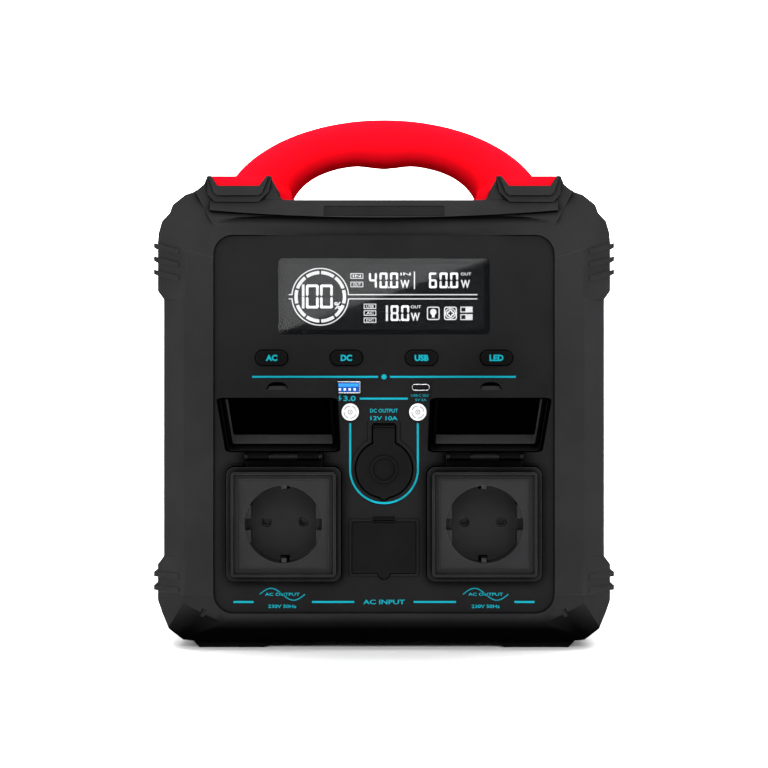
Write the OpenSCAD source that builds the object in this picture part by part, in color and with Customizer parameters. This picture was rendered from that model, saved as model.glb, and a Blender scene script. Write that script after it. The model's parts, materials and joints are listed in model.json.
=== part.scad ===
// Portable power station: a moulded case on rubber feet with a carrying handle, two mains
// sockets under hinged lids, a car socket, DC and USB outlets, a mains inlet and a display.
// X runs to the right, Y to the rear and Z up. The modules draw round the middle of the
// case; the last block moves them so that the origin lies on the ground under the middle of
// the whole part, its lids standing open.

/* [Case] */
// Width over the side walls
case_w = 225; // [221:2:239]
// Depth from the front face to the rear face
case_d = 190; // [186:2:210]
// Height of the lip that runs round the top of the case
lip_top = 228; // [226:1:231]
// Width of the bevel round the front and rear faces
bevel = 11; // [9:1:13]
// How far the tray, top cover and bumpers stand out from the side walls
skirt = 3.5; // [2:0.5:4]
// Wall thickness of the case mouldings
wall = 3; // [2.5:0.5:3.5]
// Height of the seam between the tray and the sleeve
seam_low = 28.5; // [27:0.5:30]
// Height of the seam between the sleeve and the top cover, at the panel's edge
seam_high = 198.5; // [197:0.5:200]
// Height of the rubber feet
foot_h = 3.2; // [3:0.2:4]

/* [Handle] */
// Height of the top of the grip
grip_top = 281.5; // [277.5:1:284.5]
// Thickness of the grip at its middle
grip_h = 24.7; // [22.2:0.5:25.7]
// Depth of the grip's section
grip_d = 29; // [24:1:32]
// Distance of the foot pads from the middle of the case
pad_x = 73.4; // [72:0.2:75]
// Length of the foot pads
pad_len = 186; // [160:2:186]

/* [Front panel] */
// Width of the front panel
panel_w = 172; // [170:1:174]
// Bottom edge of the front panel
panel_bottom = 19; // [18:0.5:20]
// Top edge of the front panel
panel_top = 210; // [208:0.5:211]
// Width of the display window
window_w = 107; // [100:1:110]
// Height of the display window
window_h = 38.4; // [34:0.2:40]
// Travel of the push buttons
button_travel = 0.8; // [0.4:0.1:0.9]

/* [Mains sockets] */
// Distance of the mains sockets from the middle of the panel
socket_x = 50.6; // [50:0.2:51]
// Height of the middle of the mains sockets
socket_z = 64.2; // [63:0.2:65]
// Diameter of the socket's recess
recess_dia = 39; // [38.6:0.1:39.4]
// Depth of the socket's recess
recess_depth = 17.5; // [17:0.5:18]
// How far the lids stand open, from closed
lid_open = 118; // [90:1:122]
// Depth of the lids
lid_depth = 9.6; // [9.5:0.1:11]

/* [Inside] */
// Diameter of the battery cells
cell_dia = 21.2; // [21:0.1:21.4]
// Length of the battery cells
cell_len = 70.2; // [70:0.1:71]
// Cells across the pack
cell_cols = 7; // [5:1:7]
// Cells from front to rear of the pack
cell_rows = 5; // [3:1:5]
// Width of the fan's square frame
fan_size = 60; // [50:5:60]

/* [Hidden] */
$fn = 48;

e = 0.01; // overshoot of a cut through a face
hw = case_w / 2;
hd = case_d / 2;
sw = hw + skirt; // half width of the tray, top cover and bumpers
face_x = hw - bevel; // where the flat front face ends and the bevel starts
seam_slope = 0.3; // the upper seam climbs outward from the panel's edge
panel_t = 3;
panel_y = -hd + 1; // front surface of the panel
panel_back = panel_y + panel_t;
panel_mid = (panel_top + panel_bottom) / 2;
panel_h = panel_top - panel_bottom;
panel_r = 10;
deck_top = 222; // the flat top that the handle stands on
front_wall = 7; // thickness of the front and rear walls round their openings

button_z = 148;
button_x = [-56.8, -19, 19, 56.8];
button_w = 15.8;
button_h = 7.1;
window_z = 179.1;
usb_x = 18.6;
usb_z = 133.1;
jack_x = 17.1;
jack_z = 120.6;
jack_dia = 8.7;
car_z = 91.7;
car_bore = 21;
cap_dia = 28;
cap_reach = 21.6; // from the cap's middle to the end of its strap
cap_axis = [panel_y - 1.4, car_z + cap_reach]; // Y and Z of the cap's hinge
inlet_z = 52.1;
inlet_w = 32;
inlet_h = 25.7;
cover_axis = [panel_y - 0.6, inlet_z + inlet_h / 2 + 0.2]; // Y and Z of the cover's hinge
bead_r = 0.5; // bead that a rubber cover turns about

lid_w = 57.6;
lid_bottom = socket_z - 29;
lid_top = socket_z + 30.2;
lid_wall = 1.7;
ledge_y = panel_y - 4.2; // front of the frame's ledge, which the closed lid nearly meets
rim_y = panel_y - 7; // front of the frame's rim, which the closed lid goes round
plate_y = panel_y - 5.4; // front of the socket insert
lid_tip_y = ledge_y - 0.4; // the closed lid's own rim
lid_axis = [lid_tip_y, lid_top + 4.2]; // Y and Z of the hinge pin
pin_r = 1;
knuckle_r = 2.6;
knuckles = [[7.2, 17.8], [-17.8, -7.2]]; // the lid's knuckles, from the socket's middle
insert_size = 45;

// from the middle of the case to the open lids' front edge and to the lamp at the rear
front_reach = -lid_axis[0] + (lid_axis[1] - lid_bottom) * sin(lid_open);
rear_reach = hd + 0.6;

cell_pitch = 22.4;
pack_y = 29.2; // middle of the battery pack
pack_z = 15; // underside of the cells
inverter_z = 104;
fan_pos = [hw - wall - 0.6, 25, 128]; // outer face and centre of the fan
vent_y = 25;
vent_z = 128;
vent_size = 76;
lamp_z = 186;

// ---------------------------------------------------------------- helpers

module along_y(y0, y1) { // a drawing in X and Z, extruded from y0 to y1
    translate([0, y1, 0]) rotate([90, 0, 0]) linear_extrude(y1 - y0) children();
}

module along_x(x0, x1) { // a drawing in Y and Z, extruded from x0 to x1
    translate([x0, 0, 0]) rotate([90, 0, 90]) linear_extrude(x1 - x0) children();
}

module span(x, y, z) { // a box given by its limits on each axis
    translate([x[0], y[0], z[0]]) cube([x[1] - x[0], y[1] - y[0], z[1] - z[0]]);
}

module round_rect(w, h, r) { // centred, with true arcs at its corners
    square([w, h - 2 * r], center = true);
    square([w - 2 * r, h], center = true);
    for (x = [-1, 1], z = [-1, 1]) translate([x * (w / 2 - r), z * (h / 2 - r)]) circle(r);
}

module pin_y(r, y0, y1) { translate([0, y1, 0]) rotate([90, 0, 0]) cylinder(r = r, h = y1 - y0); }

module pin_x(r, x0, x1) { translate([x0, 0, 0]) rotate([0, 90, 0]) cylinder(r = r, h = x1 - x0); }

module at(x, z) { translate([x, 0, z]) children(); }

module both_sides() { children(); mirror([1, 0, 0]) children(); }

module front_and_rear() { children(); mirror([0, 1, 0]) children(); }

module beyond(point, normal) { // everything on the far side of a plane
    n = normal / norm(normal);
    translate(point) rotate([0, acos(n[2]), atan2(n[1], n[0])])
        translate([-60, -60, 0]) cube([120, 120, 60]);
}

function bevelled(w, d, x, b) = [ // outline of the case from above, w and d its half sizes
    [-x, -d], [x, -d], [w, -d + b], [w, d - b], [x, d], [-x, d], [-w, d - b], [-w, -d + b]
];

module case_plan() { polygon(bevelled(hw, hd, face_x, bevel)); }

module skirt_plan() { polygon(bevelled(sw, hd, face_x, bevel + skirt * 0.9)); }

module below_seam() { // drawn in X and Z
    seam_end = seam_high + seam_slope * (sw + 5 - panel_w / 2);
    polygon([
        [-sw - 5, seam_low], [sw + 5, seam_low], [sw + 5, seam_end],
        [panel_w / 2, seam_high], [-panel_w / 2, seam_high], [-sw - 5, seam_end]
    ]);
}

module panel_rebate() { // the front panel's seat and the opening behind it
    at(0, panel_mid) {
        along_y(-hd - 20, panel_back) round_rect(panel_w + 0.4, panel_h + 0.4, panel_r);
        along_y(-hd, -hd + front_wall + e) round_rect(panel_w - 8, panel_h - 8, panel_r - 4);
    }
}

module rear_rebate() {
    at(0, panel_mid - 4) {
        along_y(hd - 3.2, hd + 20) round_rect(160.4, 170.4, 8);
        along_y(hd - front_wall - e, hd) round_rect(138, 148, 5);
    }
    at(0, lamp_z) along_y(hd - front_wall - e, hd) stadium(100, 20);
}

module cavity(z0, z1) { // the space inside the case, narrowing with its underside and its top
    inner_w = hw - wall;
    inner_d = hd - front_wall;
    floor_z = foot_h + wall;
    intersection() {
        translate([0, 0, z0]) linear_extrude(z1 - z0)
            polygon(bevelled(inner_w, inner_d, face_x - 4, bevel + 5 - front_wall));
        along_x(-inner_w, inner_w) polygon([
            [-inner_d, floor_z + 8], [-inner_d + 8, floor_z], [inner_d - 8, floor_z],
            [inner_d, floor_z + 8], [inner_d, 214], [inner_d - 4, 245], [4 - inner_d, 245], [-inner_d, 214]
        ]);
        both_sides() along_y(-inner_d, inner_d) polygon([
            [0, floor_z], [92, floor_z], [101, 9], [107, 15], [inner_w, 22],
            [inner_w, 210], [106, 218], [104, 245], [0, 245]
        ]);
    }
}

// ---------------------------------------------------------------- case

module side_outline() { // the tray's and top cover's outline from the front, right half
    polygon([
        [0, foot_h], [94, foot_h], [102.5, 4.4], [109.5, 10], [113.5, 18], [sw, 24],
        [sw, 207], [115.6, 212], [113.6, 218], [109, 222], [107.4, 226], [101.2, 231],
        [94.6, 233.2], [91.2, 236], [89.6, 240], [57.5, 240], [52, deck_top], [0, deck_top]
    ]);
}

module lip_outline() { // from the front, right half; its lower edge climbs in one long arc
    lip_r = 1000;
    intersection() {
        square([88, lip_top + 0.2]);
        translate([0, 218.8 + lip_r]) circle(lip_r, $fn = 256);
    }
}

module lip_curve(inset = 0) { // the lip's front is a long arc from above too
    curve_r = 1900;
    translate([0, curve_r - hd - 1.6 + inset, 200]) cylinder(r = curve_r, h = 50, $fn = 256);
}

function lip_front(z) = -hd - 1.2 + 3.8 * (z - 219) / (lip_top - 219); // its sloping face
module lip() {
    intersection() {
        both_sides() along_y(-hd - 5, 0) lip_outline();
        lip_curve();
        along_x(-88, 88) polygon([
            [-hd - 1.6, 216], [lip_front(219), 219], [lip_front(lip_top), lip_top],
            [-hd + 9, lip_top], [-hd + 15, 216]
        ]);
    }
}
module lip_web() { // the lip sweeps up into each block in a hollow curve
    both_sides() along_y(-hd + 2.8, -hd + 8.8) translate([0, lip_top]) polygon([
        [45, -2], [47, -0.5], [51, 0.3], [53.8, 1.7], [55.2, 3.6], [55.9, 6], [60, 6], [60, -2]
    ]);
}

block_y = hd - 3; // front of the blocks that the handle's foot pads lie in
ridge = [ // the part of the front face that the top corners' facets leave alone
    [0, 150], [80, 203.5], [86.4, 215.2], [95.5, 231.9], [99.9, 240], [99.9, 250], [0, 250]
];

groove = [ // down each bottom corner, from the seam to the underside
    [88.6, -hd - 0.5, seam_low + 0.5], [90.5, -hd - 0.4, 21], [92.4, -hd - 0.1, 17.2], [99.4, -hd + 6, 8.2]
];

module rod(a, b, r) { // a cylinder from one point to another
    v = b - a;
    translate(a) rotate([0, acos(v[2] / norm(v)), atan2(v[1], v[0])]) cylinder(r = r, h = norm(v));
}

module case_block() { // tray, sleeve and top cover as one body, before they are cut apart
    difference() {
        intersection() {
            both_sides() along_y(-hd, hd) side_outline();
            linear_extrude(245) skirt_plan();
            // the underside of the front and rear faces slopes back, and so does the top
            along_x(-sw, sw) polygon([
                [-hd, 14.4], [-hd + bevel, foot_h], [hd - bevel, foot_h], [hd, 14.4], [hd, 219],
                [block_y, 224], [block_y, 245], [-block_y, 245], [-block_y, 224], [-hd, 219]
            ]);
        }
        front_and_rear() both_sides() {
            difference() {
                beyond([face_x, -hd, seam_high + 6], [45.6, -264.8, 67.5]);
                along_y(-hd - 5, 0) polygon(ridge);
            }
            beyond([face_x, -hd, seam_low - 4.5], [32, -140, -66.5]);
            for (i = [0:len(groove) - 2]) rod(groove[i], groove[i + 1], 1.4);
        }
    }
}

module valley() { // the hollow under the lip, which fades towards its ends
    curve_r = 860;
    front_and_rear() intersection() {
        translate([0, -hd - 3.2 - curve_r, 215])
            rotate_extrude(angle = 14, start = 83, $fn = 256) translate([curve_r, 0]) circle(7.5, $fn = 48);
        both_sides() along_y(-hd - 5, -hd + 10) difference() {
            square([88, 300]);
            lip_outline();
        }
    }
}

module pad_outline(gap = 0) { // a foot pad from the front
    polygon([
        [pad_x - 14 - gap, 240.1], [pad_x - 10.2 - gap, 235 - gap],
        [pad_x + 10.8 + gap, 235 - gap], [pad_x + 14 + gap, 240.1]
    ]);
}

bolt_y = [-40, 40];

module handle_bolt_holes(r, z0, z1) {
    for (side = [-1, 1], y = bolt_y)
        translate([side * pad_x, y, z0]) cylinder(r = r, h = z1 - z0);
}

module cradle_steps() { // the two steps round each foot pad, on the front and rear faces
    front_and_rear() both_sides() {
        along_y(-block_y - 1.5, -block_y + 3) polygon([
            [pad_x - 16.6, 240], [pad_x - 15, 232], [pad_x - 9.8, 227],
            [pad_x + 12.5, 227], [pad_x + 15.9, 231], [pad_x + 16.2, 240]
        ]);
        along_y(-block_y - 2.7, -block_y + 3) polygon([
            [pad_x - 15.2, 240], [pad_x - 11.8, 231.6], [pad_x - 10, 230.2],
            [pad_x + 10.8, 230.2], [pad_x + 12.6, 231.6], [pad_x + 15.4, 240]
        ]);
    }
}

module top_cover() {
    color("#2b2b2c") difference() {
        union() {
            intersection() {
                case_block();
                difference() {
                    span([-sw, sw], [-hd - 5, hd + 5], [190, 245]);
                    along_y(-hd - 9, hd + 9) translate([0, e]) below_seam();
                }
            }
            front_and_rear() {
                lip();
                lip_web();
            }
            cradle_steps();
        }
        valley();
        front_and_rear() both_sides() along_y(-hd - 9, hd) pad_outline(0.05);
        cavity(190, deck_top - wall);
        panel_rebate();
        rear_rebate();
        handle_bolt_holes(2.75, 210, 250);
        handle_bolt_holes(5.2, 210, 226);
        for (y = [[-82, -52], [-28, 28], [52, 82]]) both_sides() span([62, 86], y, [210, 230]);
        at(0, 222.3) along_y(-hd - 9, -hd + 2) round_rect(61, 5.2, 0.6);
    }
}

module bumper_plan(inner = 0) { // right-hand front corner, from above
    if (inner == 0) polygon([
        [face_x - 1, -hd - e], [face_x, -hd - e], [sw, -hd + bevel + skirt * 0.9], [sw, -hd + 45],
        [hw, -hd + 49], [hw - 2, -hd + 49], [hw - 2, -hd + bevel + 1.2], [face_x - 1, -hd + 2]
    ]);
    else polygon([
        [face_x + 2.5, -hd + 1.6], [sw + 2.2, -hd + bevel + skirt * 0.9 + 1.4],
        [sw + 2.2, -hd + 41], [sw - 1, -hd + 44], [sw - 1, -hd + bevel + 4], [face_x + 1.5, -hd + 4]
    ]);
}

module bumper_zone() { // the sleeve's height taken by the bumpers, right half, from the front
    seam_out = seam_high + seam_slope * (sw - panel_w / 2);
    polygon([[face_x - 4, seam_low], [sw, seam_low], [sw, 42.5], [hw, 47], [face_x - 4, 47]]);
    polygon([
        [face_x - 4, 178], [hw, 178], [sw, 182.5], [sw, seam_out],
        [face_x - 4, seam_high + seam_slope * (face_x - 4 - panel_w / 2)]
    ]);
}

rib_t = 2.4;

module slanted_rib(z) { // climbs outward like the upper seam
    multmatrix([[1, 0, 0, 0], [0, 1, 0, 0], [seam_slope, 0, 1, z - seam_slope * sw], [0, 0, 0, 1]])
        linear_extrude(rib_t, center = true) bumper_plan(1);
}

module bumper() { // front right-hand corner: an upper and a lower pad with their ribs
    intersection() {
        translate([0, 0, seam_low]) linear_extrude(190) bumper_plan();
        along_y(-hd - 5, 0) bumper_zone();
    }
    for (z = [37.2, 30.3]) translate([0, 0, z]) linear_extrude(rib_t, center = true) bumper_plan(1);
    for (z = [191.8, 198.6, 205.4]) slanted_rib(z);
}

module bumper_front_right() { color("#303032") bumper(); }
module bumper_front_left() { color("#303032") mirror([1, 0, 0]) bumper(); }
module bumper_rear_right() { color("#303032") mirror([0, 1, 0]) bumper(); }
module bumper_rear_left() { color("#303032") mirror([1, 0, 0]) mirror([0, 1, 0]) bumper(); }

module vent_opening(gap = 0) {
    both_sides() translate([0, vent_y, vent_z])
        along_x(hw - wall - 9, hw + 9) round_rect(vent_size + gap, vent_size + gap, 5);
}

rear_screws = [for (x = [-74.5, 74.5], z = [32, 110.5, 189]) [x, z]];

module rear_screw_holes() {
    for (p = rear_screws) at(p[0], p[1]) pin_y(1.55, hd - 12, hd);
}

module body_sleeve() {
    color("#262628") difference() {
        intersection() {
            linear_extrude(220) case_plan();
            along_y(-hd - 5, hd + 5) below_seam();
        }
        cavity(seam_low - 1, 220);
        front_and_rear() both_sides() intersection() {
            translate([0, 0, seam_low - 1]) linear_extrude(190) bumper_plan();
            along_y(-hd - 5, 0) bumper_zone();
        }
        both_sides() translate([0, 0, 112]) along_x(hw - 1.2, hw + 5) round_rect(86, 118, 8);
        panel_rebate();
        rear_rebate();
        vent_opening();
        rear_screw_holes();
    }
    color("#262628") tray_screw_places() difference() { // bosses that take the tray's screws
        union() {
            translate([0, 0, seam_low]) cylinder(r = 5.4, h = 28);
            span([0, hw - wall + e - 97], [-1.5, 1.5], [seam_low, seam_low + 28]);
        }
        translate([0, 0, seam_low - 1]) cylinder(r = 1.55, h = 22);
    }
}

module tray_screw_places() { both_sides() for (y = [-58, 66]) translate([97, y, 0]) children(); }

module bottom_tray() {
    color("#1f1f21") difference() {
        intersection() {
            case_block();
            span([-sw, sw], [-hd, hd], [0, seam_low - e]);
        }
        cavity(foot_h + wall, seam_low + 5);
        panel_rebate();
        rear_rebate();
        foot_places() foot_shape(0.02);
        tray_screw_places() cylinder(r = 3.9, h = 9);
        tray_screw_places() cylinder(r = 1.7, h = 20);
    }
    color("#1f1f21") for (y = [-34, 0, 34]) translate([0, pack_y + y, 0]) // ribs under the battery pack
        span([-70, 70], [-1.5, 1.5], [foot_h + wall - e, pack_z - 2.05]);
    color("#1f1f21") tray_screw_places() difference() {
        translate([0, 0, foot_h + wall - e]) cylinder(r = 5.4, h = seam_low - 0.05 - foot_h - wall);
        cylinder(r = 3.9, h = 9);
        cylinder(r = 1.7, h = 40);
    }
}

module foot_places() {
    front_and_rear() both_sides() translate([76.5, -66, 0]) children();
}

module foot_shape(gap = 0) {
    along_y(-16 - gap, 16 + gap) polygon([
        [-20.5 - gap, foot_h - e], [-15, 0], [18, 0], [21 + gap, foot_h - e]
    ]);
    translate([0, 0, foot_h - 2 * e]) linear_extrude(1.6 + gap) round_rect(30 + 2 * gap, 22 + 2 * gap, 4);
}

module rubber_feet() { color("#141414") foot_places() foot_shape(); }

// ---------------------------------------------------------------- handle

spring_z = 227.8; // height from which the grip's arch rises
arch_half = 90.6; // half width of the arch's outer curve at that height
arch_inner = 53.5; // half width of its inner curve, which springs from lower down
inner_spring_z = 220;
leg_half = 86.5; // the legs' outer faces
arch_steps = 48;
ring_points = 28;

function signed(v, power) = sign(v) * pow(abs(v), power);
function outer_arch(a) = [arch_half * sin(a), spring_z + (grip_top - spring_z) * cos(a)];
function swell(x) = abs(x) < 18 ? 2.2 * pow(cos(5 * x), 2) : 0; // fills the palm under the middle
function inner_arch(a) = let (x = arch_inner * signed(sin(a), 0.77)) [
    x, inner_spring_z + (grip_top - grip_h - inner_spring_z) * pow(cos(a), 0.77) - swell(x)
];
function arch_ring(i) = let (
        a = 86 * (2 * i / arch_steps - 1),
        middle = (outer_arch(a) + inner_arch(a)) / 2,
        half = (outer_arch(a) - inner_arch(a)) / 2,
        half_d = grip_d / 2 * (1 + 0.5 * pow(abs(a) / 86, 3)))
    [for (k = [0:ring_points - 1]) let (
            t = 360 * k / ring_points,
            p = middle + half * signed(sin(t), 0.8))
        [max(-leg_half, min(leg_half, p[0])), half_d * signed(cos(t), 0.8), p[1]]];

module sweep(rings) { // a closed tube through rings that all have the same number of points
    n = len(rings[0]);
    m = len(rings);
    polyhedron(
        points = [for (r = rings) each r],
        faces = concat(
            [[for (k = [0:n - 1]) k]],
            [for (i = [0:m - 2], k = [0:n - 1]) let (j = (k + 1) % n)
                [i * n + k, (i + 1) * n + k, (i + 1) * n + j, i * n + j]],
            [[for (k = [0:n - 1]) m * n - 1 - k]]
        )
    );
}

module cradle_zone() { // the cover round the legs, without the grooves for the foot pads
    both_sides() along_y(-60, 60) difference() {
        polygon([
            [-1, 222.05], [51.95, 222.05], [57.45, 240.05], [100, 240.05], [100, 200], [-1, 200]
        ]);
        pad_outline();
    }
}

module handle() {
    color("#f0202c") difference() {
        union() {
            difference() {
                union() {
                    sweep([for (i = [0:arch_steps]) arch_ring(i)]);
                    both_sides() along_y(-19.5, 19.5) // heels that reach down beside the blocks
                        polygon([[49.5, 221], [60, 221], [60, 246], [51, 240], [50.4, 234]]);
                }
                cradle_zone();
            }
            both_sides() along_y(-pad_len / 2, pad_len / 2) intersection() {
                pad_outline();
                translate([0, 230]) square([120, 10]);
            }
        }
        handle_bolt_holes(2.2, 230, 239);
    }
}

module handle_bolts() {
    color("silver") {
        handle_bolt_holes(2.15, 222.5, 238);
        difference() {
            handle_bolt_holes(4.5, 223, 226);
            for (side = [-1, 1], y = bolt_y)
                translate([side * pad_x, y, 222]) cylinder(r = 2.3, h = 2.5, $fn = 6);
        }
    }
}

module badge_plate() {
    color("#1c1c1e") intersection() {
        at(0, 222.3) along_y(-hd - 9, -hd + 2) round_rect(60.6, 4.8, 0.5);
        lip_curve(0.15);
        along_x(-40, 40) polygon([
            [lip_front(217) + 0.15, 217], [lip_front(226) + 0.15, 226], [-hd + 6, 226], [-hd + 2, 217]
        ]);
    }
}

// ---------------------------------------------------------------- front panel and controls

module stadium(w, h) { round_rect(w, h, h / 2 - 0.01); }

module cap_recess(gap) { // the car socket cap's outline: its disc, strap and pull tab
    circle(cap_dia / 2 + gap);
    translate([-5.4 - gap, 0]) square([10.8 + 2 * gap, cap_reach + gap]);
    translate([0, 1 - cap_dia / 2]) circle(2.2 + gap);
}

module front_panel() {
    color("#252526") difference() {
        union() {
            at(0, panel_mid) along_y(panel_y, panel_back) round_rect(panel_w, panel_h, panel_r - 0.2);
            at(0, car_z) along_y(panel_y - 0.5, panel_y + e) cap_recess(2.6);
            at(0, inlet_z) along_y(panel_y - 0.4, panel_y + e) round_rect(inlet_w + 3, inlet_h + 3, 1);
            for (side = [-1, 1]) at(side * socket_x, socket_z)
                along_y(panel_y - 0.6, panel_y + e) round_rect(60.4, 60.4, 5.5);
        }
        at(0, window_z) {
            along_y(panel_y - 1, panel_y + 1.8) round_rect(window_w + 0.2, window_h + 0.2, 2.5);
            along_y(panel_y, panel_back + 1) round_rect(window_w - 5, window_h - 5, 1);
        }
        for (x = button_x) at(x, button_z) along_y(panel_y - 1, panel_back + 1) stadium(17, 8.3);
        at(-usb_x, usb_z) along_y(panel_y - 1, panel_back + 1) round_rect(14, 6.9, 0.5);
        at(usb_x, usb_z) along_y(panel_y - 1, panel_back + 1) stadium(9.8, 4);
        for (x = [-jack_x, jack_x]) at(x, jack_z) pin_y(jack_dia / 2 + 0.05, panel_y - 1, panel_back + 1);
        at(0, car_z) {
            along_y(panel_y - 2, panel_y + 1.2) cap_recess(0.9);
            pin_y(12.6, panel_y - 1, panel_back + 1);
        }
        at(0, inlet_z) {
            along_y(panel_y - 1, panel_y + 1.4) {
                round_rect(inlet_w + 0.8, inlet_h + 0.8, 0.8);
                translate([0, inlet_h / 2 + 0.5]) square([11.2, 1.4], center = true);
                translate([0, -inlet_h / 2]) circle(3.4);
            }
            along_y(panel_y, panel_back + 1) round_rect(27.2, 20.2, 1);
        }
        anchor_slot(cap_anchor_z);
        anchor_slot(cover_anchor_z);
        for (side = [-1, 1]) at(side * socket_x, socket_z) {
            along_y(panel_y - 1, panel_back + 1) round_rect(53, 53, 2);
            along_y(panel_y - 1, panel_y) round_rect(58.6, 58.6, 4.6);
            span([-20, 20], [panel_y - 1, panel_y], [26, axis_up + 3.6]);
        }
    }
}

module display_window() {
    color("#101214") at(0, window_z) along_y(panel_y, panel_y + 1.7) round_rect(window_w, window_h, 2.4);
}

module display_module() {
    color("#1d4c46") at(0, window_z) {
        along_y(panel_back + 0.1, panel_back + 2) round_rect(window_w - 4, window_h - 2, 0.6);
        along_y(panel_back + 2, panel_back + 3.6) round_rect(window_w + 4, window_h + 4, 1);
    }
}

module push_button(i) {
    color("#1a1a1b") at(button_x[i], button_z) {
        along_y(panel_y - 0.8, panel_back + 1.3) stadium(button_w, button_h);
        along_y(panel_back + 0.1, panel_back + 1.3) stadium(21, 11);
        pin_y(1.7, panel_back + 1.2, panel_back + 2.5);
    }
}

module ac_button() { push_button(0); }
module dc_button() { push_button(1); }
module usb_button() { push_button(2); }
module led_button() { push_button(3); }

board_y = panel_back + 6; // front surface of the control board

module tact_switches() {
    color("#8c8f92") for (x = button_x) at(x, button_z) {
        pin_y(1.5, panel_back + 2.6 + button_travel, board_y - 2);
        span([-3, 3], [board_y - 2.2, board_y], [-3, 3]);
    }
}

module control_board() {
    color("#1b5e3a") {
        span([-76, 76], [board_y, board_y + 1.6], [141.5, 200]);
        for (x = [-30, 0, 34]) span([x, x + 12], [board_y + 1.6 - e, board_y + 4], [160, 172]);
        span([-60, -40], [board_y + 1.6 - e, board_y + 9], [184, 192]);
    }
}

port_y = -hd + 16.5; // front surface of the port board

module port_board() {
    color("#1b5e3a") {
        span([-32, 32], [port_y, port_y + 1.6], [110, 139.5]);
        for (x = [-8, 3]) span([x, x + 6], [port_y + 1.6 - e, port_y + 5], [126, 134]);
    }
}

module usb_a_port() {
    color("#9fa3a8") at(-usb_x, usb_z) difference() {
        along_y(panel_y - 0.3, port_y) round_rect(13.2, 5.9, 0.4);
        along_y(panel_y - 1, port_y - 1) round_rect(12.5, 5.2, 0.3);
    }
    color("#1769c4") at(-usb_x, usb_z) span([-5.6, 5.6], [panel_y + 0.5, port_y - 0.9], [0.1, 1.9]);
}

module usb_c_port() {
    color("#9fa3a8") at(usb_x, usb_z) difference() {
        along_y(panel_y - 0.2, port_y) stadium(9, 3.3);
        along_y(panel_y - 1, port_y - 1) stadium(8.34, 2.6);
    }
    color("#161616") at(usb_x, usb_z) span([-3.4, 3.4], [panel_y + 0.6, port_y - 0.9], [-0.35, 0.35]);
}

module dc_jack(x) {
    color("white") at(x, jack_z) {
        difference() {
            pin_y(jack_dia / 2, panel_y - 0.4, port_y);
            pin_y(2.8, panel_y - 1, port_y - 3);
        }
        pin_y(1, panel_y + 0.6, port_y - 2.9);
    }
}

module dc_jack_left() { dc_jack(-jack_x); }
module dc_jack_right() { dc_jack(jack_x); }

module car_socket_barrel() {
    barrel_end = -hd + 55;
    color("#b9bcc0") at(0, car_z) difference() {
        union() {
            pin_y(12.4, panel_y + 1.3, barrel_end);
            pin_y(13.6, panel_back + 0.1, panel_back + 2);
        }
        pin_y(car_bore / 2, panel_y, barrel_end - 3);
    }
}

module car_socket_contact() {
    barrel_end = -hd + 55;
    color("#c9a24a") at(0, car_z) {
        pin_y(2, barrel_end - 10, barrel_end - 3);
        pin_y(5, barrel_end - 4.5, barrel_end - 3);
    }
}

module car_socket_cap() {
    color("#202021") at(0, car_z) {
        along_y(panel_y - 1.4, panel_y + 1) {
            circle(cap_dia / 2);
            translate([-5.4, 0]) square([10.8, cap_reach]);
            translate([0, 1 - cap_dia / 2]) circle(2.2);
        }
        along_y(panel_y - 2.2, panel_y - 1.4 + e) difference() {
            circle(6.8);
            circle(5.8);
        }
        pin_y(9.5, panel_y + 1 - e, panel_y + 4);
    }
    color("#202021") translate([0, cap_axis[0], cap_axis[1]]) pin_x(bead_r, -5.4, 5.4);
}

anchor_w = 10.8;
anchor_t = 1;
cap_anchor_z = cap_axis[1] + 1.3;
cover_anchor_z = inlet_z + inlet_h / 2 + 2.4;

module anchor(z) { // the fixed end of a rubber strap, held in a slot through the panel
    at(0, z) {
        along_y(panel_y + 0.3, panel_back + 0.2) square([anchor_w, anchor_t], center = true);
        along_y(panel_back + 0.1, panel_back + 2) square([anchor_w + 4, anchor_t + 2], center = true);
    }
}

module anchor_slot(z) {
    at(0, z) along_y(panel_y - 1, panel_back + 1) square([anchor_w + 0.2, anchor_t + 0.1], center = true);
}

module cap_anchor() { color("#202021") anchor(cap_anchor_z); }
module cover_anchor() { color("#1e1e1f") anchor(cover_anchor_z); }

// ---------------------------------------------------------------- mains sockets

axis_up = lid_axis[1] - socket_z; // height of the hinge pin over the socket's middle

module hinge_ears() { // the frame's knuckles, between and outside the lid's
    for (x = [[-6.9, 6.9], [18.1, 19.3], [-19.3, -18.1]]) {
        translate([0, lid_axis[0], axis_up]) pin_x(knuckle_r, x[0], x[1]);
        translate([0, 0, axis_up]) span(x, [lid_axis[0], panel_y - e], [-knuckle_r, knuckle_r]);
    }
}

module socket_frame() {
    difference() {
        union() {
            along_y(ledge_y, panel_y - e) round_rect(57.4, 57.4, 4);
            span([-19.3, 19.3], [panel_y - 1, panel_y - e], [20, axis_up + knuckle_r]);
            along_y(rim_y, panel_y) round_rect(52.6, 52.6, 2);
            along_y(panel_y - e, panel_back + 3) round_rect(52.6, 52.6, 1.5);
            hinge_ears();
        }
        along_y(panel_y - 9, panel_back + 9) square(insert_size + 0.1, center = true);
        along_y(panel_y - 9, rim_y + 0.8) round_rect(50.2, 50.2, 1);
        translate([0, lid_axis[0], axis_up]) pin_x(pin_r, -30, 30);
    }
}

floor_y = plate_y + recess_depth; // bottom of the socket's recess

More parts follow.
